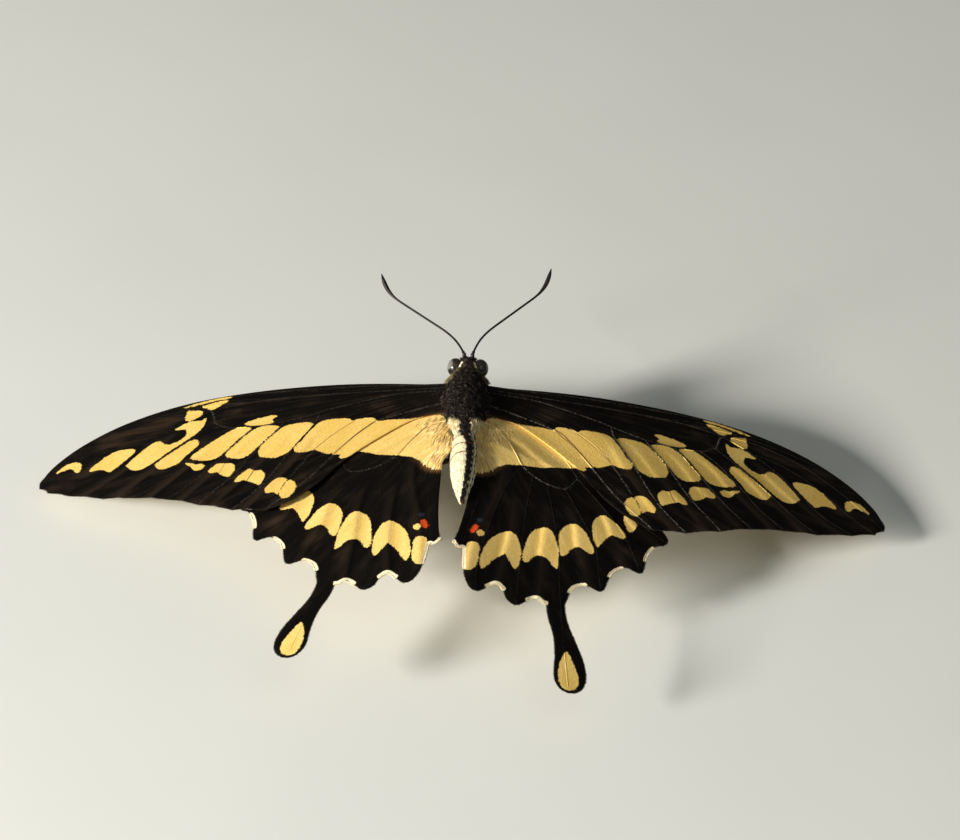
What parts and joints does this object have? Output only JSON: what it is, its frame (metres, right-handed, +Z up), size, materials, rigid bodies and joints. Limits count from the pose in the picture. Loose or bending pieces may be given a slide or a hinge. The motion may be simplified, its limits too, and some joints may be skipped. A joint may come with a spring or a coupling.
{
  "type": "swallowtail butterfly",
  "caption": "Life-size still model of a black and yellow swallowtail butterfly, standing with its wings spread flat and tails trailing.",
  "frame": {"origin": "on the standing surface, below the middle of the whole insect's outline", "axes": "+X to the insect's right, +Y towards its head, +Z up"},
  "size_m": [0.128, 0.0868, 0.0218],
  "materials": {
    "wing_scales": "matt scales, black-brown with pale yellow bands and spots",
    "body_hair": "black-brown hair with pale flecks and tan stripes",
    "abdomen_scales": "smooth cream scales with a black stripe along the back",
    "eye": "glossy, dark brown-black, finely faceted",
    "horn": "satin black horn with fine rings and scales"
  },
  "bodies": {
    "root": {"forewing_left": "wing_scales", "forewing_right": "wing_scales", "hindwing_left": "wing_scales", "hindwing_right": "wing_scales", "head": "body_hair", "thorax": "body_hair", "abdomen": "abdomen_scales", "palp_left": "body_hair", "palp_right": "body_hair", "eye_left": "eye", "eye_right": "eye", "antenna_left": "horn", "antenna_right": "horn", "proboscis": "horn", "leg_fore_left": "horn", "leg_fore_right": "horn", "leg_mid_left": "horn", "leg_mid_right": "horn", "leg_hind_left": "horn", "leg_hind_right": "horn"}
  },
  "joints": []
}
